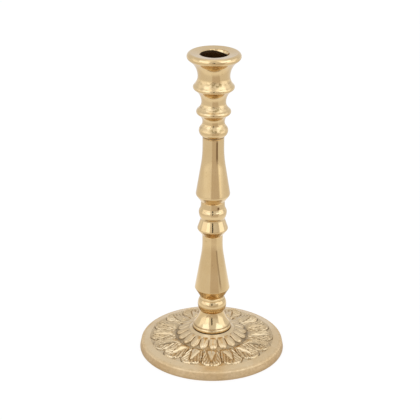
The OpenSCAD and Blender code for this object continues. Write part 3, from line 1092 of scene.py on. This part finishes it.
@dataclass
class Foot:
    """Bell-shaped foot with a band below and a bead above."""

    finishes: Finishes
    fits: Fits = Fits()
    z: float = 19.0
    height: float = 29.2
    band: Bead = Bead(16.15, 1.6, 2.2)
    band_toe: float = 1.4
    band_turn: float = 52.0
    line_dark: float = 0.52
    line_drop: float = 0.2
    line_h: float = 0.75
    bell_foot: float = 4.0
    bell_r: float = 15.4
    bell_h: float = 15.9
    bell_top_r: float = 9.9
    bell_sag: float = 0.7
    bead_ledge: float = 0.2
    bead_top: Point = (10.6, 26.9)
    bead_sag: float = 1.7
    neck_r: float = 10.25

    def build(self) -> None:
        """Turns the foot."""
        bead = (self.bell_top_r + self.bead_ledge, self.bell_h + self.bead_ledge / 2)
        side = [
            *fillet((0, 0), (self.band.r, 0), (self.band.r, self.bell_foot), self.band_toe, 8),
            *self.band.turned(0.0, radians(self.band_turn)),
            *arc((self.bell_r, self.bell_foot), (self.bell_top_r, self.bell_h), -self.bell_sag),
            *arc(bead, self.bead_top, self.bead_sag),
            (self.neck_r, self.bead_top[1] + self.bead_ledge),
            *self.fits.top_edge(self.neck_r, self.height),
        ]
        outline = self.fits.strung(side, self.height, self.z)
        # painted shade in the corner above the band
        flaws = {Mark.SHADE_AND_TARNISH: self.line}
        piece = Turning("foot_turning", outline, flaws, crease_shade=0.2, row_step=FINE_ROWS).build()
        self.finishes.show(piece, Slot.BRASS, "foot")

    def line(self, at: Places) -> Array:
        """Painted shade in the corner above the band."""
        above = at.z - self.z - self.bell_foot + self.line_drop
        return self.line_dark * bell(above, self.line_h) * (at.r > self.bell_top_r)


@dataclass
class Baluster:
    """Tapered baluster with a bevelled swell and a straight neck."""

    finishes: Finishes
    node: str
    z: float
    height: float
    bottom_r: float
    bevel_h: float
    swell_r: float
    swell_round: float
    neck_r: float
    neck_l: float
    neck_round: float
    streak_deg: float
    streak_z: Point
    streak_half: float
    streak_dark: float
    streak_lean: float = 0.0
    streak_fade: Point = (6.0, 1.0)
    fits: Fits = Fits()

    def build(self) -> None:
        """Turns the baluster."""
        bottom, swell = (self.bottom_r, 0.0), (self.swell_r, self.bevel_h)
        taper_end = (self.neck_r, self.height - self.neck_l)
        side = [
            *self.fits.bottom_edge(self.bottom_r),
            *fillet(bottom, swell, taper_end, self.swell_round),
            *fillet(swell, taper_end, (self.neck_r, self.height), self.neck_round, 20),
            *self.fits.top_edge(self.neck_r, self.height),
        ]
        outline = self.fits.strung(side, self.height, self.z)
        piece = Turning(f"{self.node}_turning", outline, {Mark.SHADE_AND_TARNISH: self.streak}).build()
        self.finishes.show(piece, Slot.BRASS, self.node)

    def streak(self, at: Places) -> Array:
        """Dark streak down the neck.

        Args:
            at: Places on the baluster.

        Returns:
            How dark it is at each of them.
        """
        low, high = (h + self.z for h in self.streak_z)
        fade_low, fade_high = self.streak_fade
        fade = unit((at.z - low) / fade_low) * unit((high - at.z) / fade_high)
        aside = at.bearing - self.streak_deg - self.streak_lean * (high - at.z)
        return self.streak_dark * fade * bell(aside, self.streak_half, 4)


@dataclass
class Knop:
    """Flared ring, groove, bead and short neck between the balusters."""

    finishes: Finishes
    fits: Fits = Fits()
    z: float = 104.2
    height: float = 29.8
    bottom_r: float = 8.7
    flare: Point = (12.85, 5.8)
    flare_round: float = 2.0
    groove: Point = (9.9, 14.4)
    groove_round: float = 1.2
    bead: Point = (11.55, 20.6)
    bead_foot: Point = (10.05, 15.2)
    bead_swell: float = 0.38
    shoulder: Point = (10.75, 23.3)
    shoulder_swell: float = 0.20
    neck: Point = (10.1, 24.9)
    neck_round: float = 3.0
    top_r: float = 9.75
    nick_deg: float = 27.0
    nick_z: float = 26.4
    nick_reach: Point = (6.0, 1.5)

    def build(self) -> None:
        """Turns the knop."""
        side = [
            *self.fits.bottom_edge(self.bottom_r),
            *fillet((self.bottom_r, 0), self.flare, self.groove, self.flare_round),
            *fillet(self.flare, self.groove, self.bead, self.groove_round),
            *arc(self.bead_foot, self.bead, self.bead_swell),
            *arc(self.bead, self.shoulder, self.shoulder_swell),
            *fillet(self.shoulder, self.neck, (self.top_r, self.height), self.neck_round),
            *self.fits.top_edge(self.top_r, self.height),
        ]
        outline = self.fits.strung(side, self.height, self.z)
        flaws = {Mark.SHADE_AND_TARNISH: self.nick}
        piece = Turning("knop_turning", outline, flaws, row_step=FINE_ROWS).build()
        self.finishes.show(piece, Slot.BRASS, "knop")

    def nick(self, at: Places) -> Array:
        """Dark nick above the bead.

        Args:
            at: Places on the knop.

        Returns:
            How dark each of them is.
        """
        aside = (at.bearing - self.nick_deg) / self.nick_reach[0]
        above = (at.z - self.z - self.nick_z) / self.nick_reach[1]
        return np.exp(-((aside**2 + above**2) ** 2))


@dataclass
class CandleSocket:
    """Bead, two rings and a flared cup with the bore for the candle."""

    finishes: Finishes
    fits: Fits = Fits()
    z: float = 189.5
    height: float = 70.5
    bottom_r: float = 8.9
    bead: Bead = Bead(11.8, 5.95725, 5.3)
    low_waist: Waist = Waist(9.0, 13.395)
    lower_ring: Bead = Bead(14.0, 21.9255, 2.3)
    mid_waist: Waist = Waist(9.9, 29.99775)
    upper_ring: Bead = Bead(16.65, 42.441, 2.1)
    throat: Waist = Waist(12.95, 51.1125)
    lip: Bead = Bead(21.7, 67.5, 3.0)
    bore_r: float = 11.25
    bore_drop: float = 3.8
    dish_h: float = 0.9
    mouth_bevel: float = 0.6
    worn_deg: float = 128.0
    worn_half: float = 42.0
    worn_depth: float = 6.0
    worn_r: float = 1.0
    worn_h: float = 1.6

    @property
    def mouth(self) -> float:
        """Height of the mouth of the bore."""
        return self.height - self.dish_h

    @property
    def floor(self) -> float:
        """Height of the floor of the bore."""
        return self.upper_ring.z - self.bore_drop

    def build(self) -> None:
        """Turns the socket and wears its mouth."""
        bead_in = self.bottom_r - self.bead.centre[0]
        start = atan2(-sqrt(self.bead.edge**2 - bead_in**2), bead_in)
        fits = self.fits
        side = [
            (0.0, fits.thread_l), (fits.thread_r, fits.thread_l), (fits.thread_r, -fits.spigot_h),
            (fits.spigot_r, -fits.spigot_h), (fits.spigot_r, 0.0),
            *fits.bottom_edge(self.bottom_r),
            *moulding(
                (self.bead, self.lower_ring, self.upper_ring, self.lip),
                (self.low_waist, self.mid_waist, self.throat), start, pi / 2,
            ),
            (self.bore_r + self.mouth_bevel, self.mouth),
            (self.bore_r, self.mouth - self.mouth_bevel), (self.bore_r, self.floor),
            (0.0, self.floor),
        ]
        outline = [(r, h + self.z) for r, h in side]
        flaws = {Mark.PITTING: self.pitted, Mark.SHADE_AND_TARNISH: self.sooty}
        piece = Turning("socket_turning", outline, flaws, segments=160).build()
        self.wear_mouth(piece)
        self.finishes.show(piece, Slot.BRASS, "candle_socket")

    def pitted(self, at: Places) -> Array:
        """Pits above the bead and the rings, and a rubbed spot under the lip.

        Args:
            at: Places on the socket.

        Returns:
            How pitted it is at each of them.
        """
        bands = ((self.upper_ring, 5.2, 2.8), (self.lower_ring, 4.4, 2.4), (self.bead, 2.8, 2.4))
        front_deg, front_half, front_share = 9.0, 22.0, 0.34
        rub_half, rub_drop, rub_h, rub_share = 11.0, 1.2, 1.8, 0.45
        z = at.z - self.z
        band = np.max([bell(z - ring.z - above, reach) for ring, above, reach in bands], 0)
        near = 1 - front_share + front_share * bell(at.bearing - front_deg, front_half)
        rubbed = bell(at.bearing, rub_half) * bell(z - self.lip.z + rub_drop, rub_h)
        outside = at.r > self.bore_r - 2.5
        return np.maximum(near * band * outside, rub_share * rubbed * (at.r > self.throat.r))

    def sooty(self, at: Places) -> Array:
        """Soot in the bore, up to just below its mouth.

        Args:
            at: Places on the socket.

        Returns:
            How dark each of them is.
        """
        play, clean_h, fade_h = 0.05, 0.7, 0.5
        inside = (at.r < self.bore_r + play) & (at.z > self.z + self.floor - play)
        return inside * unit((self.z + self.mouth - clean_h - at.z) / fade_h)

    def wear_mouth(self, piece: Piece) -> None:
        """Slopes the mouth of the bore at the back right, where it is worn down.

        Args:
            piece: The turned socket.
        """
        play, full = 0.01, 5.0
        low = self.z + self.mouth - self.worn_depth
        for vertex in piece.data.vertices:
            x, y, z = vertex.co / MM
            r = hypot(x, y)
            if r > self.bore_r + self.mouth_bevel + play or z < low:
                continue
            aside = degrees(atan2(x, -y)) - self.worn_deg
            share = exp(-((aside / self.worn_half) ** 2))
            if r > self.bore_r + play:
                vertex.co.x *= 1 + share * self.worn_r / r
                vertex.co.y *= 1 + share * self.worn_r / r
            else:
                vertex.co.z -= share * self.worn_h * min(1.0, (z - low) / full) * MM


# Fastening


@dataclass
class Fastening:
    """Tie rod with its screwed ends, and the washers and nut under the base."""

    finishes: Finishes
    nodes: dict[str, Piece]
    rod_r: float = 4.0
    bottom: float = 1.7
    top: float = 205.5
    bevel: float = 0.8
    pitch: float = 1.25
    thread_h: float = 0.6
    thread_end: float = 0.6
    lower_thread: float = 22.0
    upper_thread: float = 20.0

    def build(self) -> None:
        """Makes the rod, and finishes the washers and the nut."""
        self.finishes.show(self.rod(), Slot.STEEL, "tie_rod")
        for name in ("base_washer", "spring_washer", "base_nut"):
            self.finishes.dress(self.nodes[name], Slot.STEEL)
            LOG.info("%s: solid kept", name)

    def rod(self) -> Piece:
        """The rod, with a real helical thread at both ends.

        Returns:
            The piece.
        """
        n, step, end_gap, shank_r = 48, self.pitch / 8, 0.05, self.rod_r - 0.02
        low = np.arange(self.bottom + end_gap, self.bottom + self.lower_thread, step)
        high = np.arange(self.top - self.upper_thread, self.top - end_gap, step)
        levels = np.concatenate([low, np.linspace(low[-1], high[0], 12)[1:-1], high])[:, None]
        angle = np.arange(n) * 2 * pi / n
        phase = (levels / self.pitch - angle / (2 * pi)) % 1.0
        screwed = (levels < low[-1] - self.thread_end) | (levels > high[0] + self.thread_end)
        thread = self.rod_r - self.thread_h * np.abs(phase - 0.5) * 2
        ends = np.minimum(levels - self.bottom, self.top - levels)
        tip_r = self.rod_r - self.bevel + np.minimum(ends, self.bevel)
        radius = np.minimum(np.where(screwed, thread, shank_r), tip_r)
        places = [radius * np.cos(angle), radius * np.sin(angle), np.repeat(levels, n, 1)]
        starts = range(0, radius.size, n)
        faces = grid_faces(starts, n)
        faces += [tuple(reversed(range(n))), tuple(starts[-1] + j for j in range(n))]
        piece = mesh_object("rod_screwed", np.stack(places, -1).reshape(-1, 3), faces)
        shade(piece, sharp_deg=40.0)
        return piece


# Studio


def stage_sheet(piece: Piece, name: str) -> Sheet:
    """Gives a piece of the studio an empty material.

    Args:
        piece: The piece.
        name: Name of the material.

    Returns:
        The sheet of the material.
    """
    finish = bpy.data.materials.new(name)
    finish.use_nodes = True
    finish.node_tree.nodes.remove(finish.node_tree.nodes["Principled BSDF"])
    piece.data.materials.append(finish)
    return Sheet(finish.node_tree)


class CardShape(Enum):
    """How a studio card stands."""

    UPRIGHT = "upright"
    SECTOR = "sector"


@dataclass
class Card:
    """A studio card that shows only in reflections and fades out along its edges.

    An upright card has its centre, width and height, and faces the candlestick. A
    sector lies on the floor between two distances and two bearings from it.
    """

    name: str
    shape: CardShape
    place: tuple[float, ...]
    tint: Colour
    feather: float = 0.05
    lift: float = 0.003
    side_feather: float = radians(5)
    aim: tuple[float, float, float] = (0.0, 0.0, 0.13)

    def layout(self) -> tuple[Array, Array]:
        """Grid of points over the card.

        Returns:
            The points in the room, and how solid the card is at each of them.
        """
        t = np.linspace(0, 1, 33)
        if self.shape is CardShape.SECTOR:
            near, far, *sides = self.place
            start, end = np.radians(sides)
            r, turn = np.meshgrid(near + (far - near) * t**2, np.linspace(start, end, 97))
            level = np.full(r.shape, self.lift)
            points = np.stack([r * np.sin(turn), -r * np.cos(turn), level], -1)
            solid = np.minimum(r - near, far - r) / self.feather
            if sides[1] - sides[0] < 360:
                side = np.minimum(turn - start, end - turn)
                solid = np.minimum(solid, side / self.side_feather)
        else:
            *centre, width, height = self.place
            across, up = np.meshgrid((t - 0.5) * width, (t - 0.5) * height)
            facing = (Vector(self.aim) - Vector(centre)).to_track_quat("Z", "Y").to_matrix()
            flat = np.stack([across, up, np.zeros_like(up)], -1)
            points = flat @ np.array(facing).T + np.array(centre)
            solid = np.minimum(width / 2 - np.abs(across), height / 2 - np.abs(up)) / self.feather
        return points, eased(unit(solid))

    def build(self) -> None:
        """Stands the card up."""
        points, solid = self.layout()
        cols = solid.shape[1]
        faces = grid_faces(range(0, solid.size, cols), cols, closed=False)
        card = mesh_object(self.name, points.reshape(-1, 3), faces, 1.0)
        set_layer(card, "solid", solid.reshape(-1))
        s = stage_sheet(card, self.name)
        glow = s.add("ShaderNodeEmission", {"Color": (*self.tint, 1.0), "Strength": 1.0})
        share = s.add("ShaderNodeAttribute", attribute_name="solid").outputs["Fac"]
        mixed = s.mix(share, s.add("ShaderNodeBsdfTransparent"), glow)
        s.put(s.tree.nodes["Material Output"].inputs["Surface"], mixed.outputs[0])
        card.visible_camera = card.visible_shadow = card.visible_diffuse = False


@dataclass
class Studio:
    """Camera, floor, light tent and cards."""

    focal_px: float = 1415.0
    pitch_deg: float = 23.26
    roll_deg: float = 0.5
    stand: tuple[float, float, float] = (0.0, -1.065, 0.584)
    axis_px: float = 212.8
    raise_px: float = 0.45
    floor_half: float = 4.0
    floor_gap: float = 0.0002
    floor_shadow: float = 0.25
    floor_glow: float = 1.12
    floor_tint: Colour = (0.86, 0.86, 0.86)
    tent: Colour = (0.84, 0.86, 0.92)
    front: Colour = (0.64, 0.59, 0.56)
    front_left: Point = (-0.95, -0.70)
    front_right: Point = (1.02, 0.80)
    front_top: Point = (0.26, 0.12)

    def build(self) -> None:
        """Makes the whole studio."""
        scene = bpy.context.scene
        scene.view_settings.view_transform = "Standard"
        self.camera(scene)
        self.floor()
        self.world(scene)
        up, flat = CardShape.UPRIGHT, CardShape.SECTOR
        for card in (
            Card("lens_opening", up, (0, -1, 0.39, 0.22, 0.46), (0.02, 0.02, 0.02), 0.03),
            Card("lens_frame", up, (0, -1.02, 0.39, 0.34, 0.54), (1.05, 1.02, 1), 0.03),
            # painted shadow: a dim ring on the floor next to the base, seen only in reflections,
            # stands in for the floor's shade there
            Card("painted_contact_shadow", flat, (0.04, 0.098, -180, 180), (0.57, 0.51, 0.465), 0.02, 0.0003),
            Card("floor_ring", flat, (0.16, 1.2, -180, 180), (0.86, 0.85, 0.86), 0.14),
            Card("front_sheet", flat, (0.12, 3.9, -15, 47), (0.68, 0.62, 0.58), 0.2, 0.004),
            Card("right_sheet", flat, (1.1, 3.9, 46, 63), (1.22, 1.2, 1.15), 0.1, 0.005),
            Card("left_panel", up, (-0.74, -0.74, 1.02, 1.1, 1.04), (1.65, 1.8, 2.12), 0.08),
            Card("right_panel", up, (0.9, -0.56, 1.02, 1.24, 1.04), (1.74, 1.92, 2.26), 0.08),
            Card("left_skirt", up, (-1.15, -0.36, 0.32, 1.04, 0.56), (1.32, 1.36, 1.46), 0.12),
            Card("right_skirt", up, (1.15, -0.3, 0.295, 1.04, 0.6), (1.46, 1.53, 1.68), 0.11),
            Card("left_low", up, (-0.7, -0.97, 0.36, 0.66, 0.4), (1.62, 1.7, 1.86), 0.05),
            Card("left_wing", up, (-1.22, 0.06, 0.78, 0.9, 0.9), (1.08, 1.11, 1.2), 0.14),
            Card("right_wing", up, (1.22, 0.14, 0.78, 1, 0.9), (1.15, 1.19, 1.3), 0.14),
            Card("left_sky", up, (-0.3, -0.36, 1.16, 0.42, 0.44), (1.55, 1.6, 1.7), 0.12),
            Card("right_sky", up, (0.3, -0.36, 1.16, 0.42, 0.44), (1.55, 1.6, 1.7), 0.12),
            Card("top_panel", up, (0, -0.6, 1.16, 1, 0.66), (0.88, 0.88, 0.93), 0.2),
            Card("roof_panel", up, (0, 0.22, 1.45, 1.2, 0.8), (1.22, 1.27, 1.38), 0.25),
        ):
            card.build()

    def camera(self, scene: bpy.types.Scene) -> None:
        """Camera at the photo's place and framing.

        Args:
            scene: The scene to look at.
        """
        lens = bpy.data.cameras.new("camera")
        lens.sensor_fit = "HORIZONTAL"
        lens.sensor_width = SENSOR_MM
        lens.lens = self.focal_px / PHOTO_PIXELS * SENSOR_MM
        lens.shift_x = (PHOTO_PIXELS / 2 - self.axis_px) / PHOTO_PIXELS
        lens.shift_y = -self.raise_px / PHOTO_PIXELS
        lens.clip_start, lens.clip_end = 0.05, 50.0
        camera = bpy.data.objects.new("camera", lens)
        scene.collection.objects.link(camera)
        pitch = Matrix.Rotation(radians(90 - self.pitch_deg), 4, "X")
        roll = Matrix.Rotation(radians(self.roll_deg), 4, "Z")
        camera.matrix_world = Matrix.Translation(self.stand) @ pitch @ roll
        scene.camera = camera

    def floor(self) -> None:
        """Pale floor that keeps a faint shadow, and is clear from below."""
        h, z = self.floor_half, -self.floor_gap
        corners = np.array([(-h, -h, z), (h, -h, z), (h, h, z), (-h, h, z)])
        floor = mesh_object("floor", corners, [(0, 1, 2, 3)], 1.0)
        s = stage_sheet(floor, "pale_floor")
        path = s.add("ShaderNodeLightPath").outputs
        seen = s.math("MAXIMUM", path["Is Camera Ray"], path["Is Glossy Ray"])
        seen = s.math("MAXIMUM", seen, path["Is Transmission Ray"])
        matt = s.add("ShaderNodeBsdfDiffuse", {"Color": (*self.floor_tint, 1.0)})
        white = s.add("ShaderNodeEmission", {"Strength": self.floor_glow})
        pale = s.mix(s.math("MULTIPLY", seen, 1.0 - self.floor_shadow), matt, white)
        under = s.add("ShaderNodeNewGeometry").outputs["Backfacing"]
        mixed = s.mix(under, pale, s.add("ShaderNodeBsdfTransparent"))
        s.put(s.tree.nodes["Material Output"].inputs["Surface"], mixed.outputs[0])

    def world(self, scene: bpy.types.Scene) -> None:
        """Soft white light tent, dimmer and warmer where it opens to the front.

        Args:
            scene: The scene that it lights.
        """
        world = bpy.data.worlds.new("light_tent")
        world.use_nodes = True
        scene.world = world
        s = Sheet(world.node_tree)
        path = s.add("ShaderNodeLightPath").outputs
        place = s.add("ShaderNodeTexCoord").outputs["Generated"]
        way = s.add("ShaderNodeSeparateXYZ", {0: place}).outputs
        bearing = s.math("ARCTAN2", way["X"], s.math("MULTIPLY", way["Y"], -1.0))
        sides = s.ramp(bearing, *self.front_left), s.ramp(bearing, *self.front_right)
        front = s.math("MULTIPLY", s.math("MULTIPLY", *sides), s.ramp(way["Z"], *self.front_top))
        colour = s.blend(front, self.tent, self.front)
        colour = s.blend(path["Is Camera Ray"], colour, (1.0, 1.0, 1.0))
        light = world.node_tree.nodes["Background"].inputs
        s.put(light["Color"], colour)
        s.put(light["Strength"], 1.0)


def main() -> None:
    """Builds the candlestick piece by piece and notes its size."""
    logging.basicConfig(level=logging.INFO, format="%(name)s %(message)s")
    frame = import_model()
    finishes = Finishes()
    finishes.build()
    Studio().build()
    Base(finishes).build()
    Foot(finishes).build()
    Baluster(
        finishes, "lower_baluster", z=48.2, height=56.0, bottom_r=10.25, bevel_h=7.9,
        swell_r=14.65, swell_round=1.2, neck_r=8.5, neck_l=12.5, neck_round=70.0,
        streak_deg=23.0, streak_z=(9.0, 45.0), streak_half=3.4, streak_dark=0.66, streak_lean=0.25,
    ).build()
    Knop(finishes).build()
    Baluster(
        finishes, "upper_baluster", z=134.0, height=55.5, bottom_r=9.75, bevel_h=6.4,
        swell_r=14.2, swell_round=3.5, neck_r=8.8, neck_l=16.0, neck_round=95.0,
        streak_deg=20.0, streak_z=(34.0, 55.3), streak_half=4.8, streak_dark=0.97,
    ).build()
    CandleSocket(finishes).build()
    Fastening(finishes, frame["nodes"]).build()


if __name__ == "__main__":
    main()
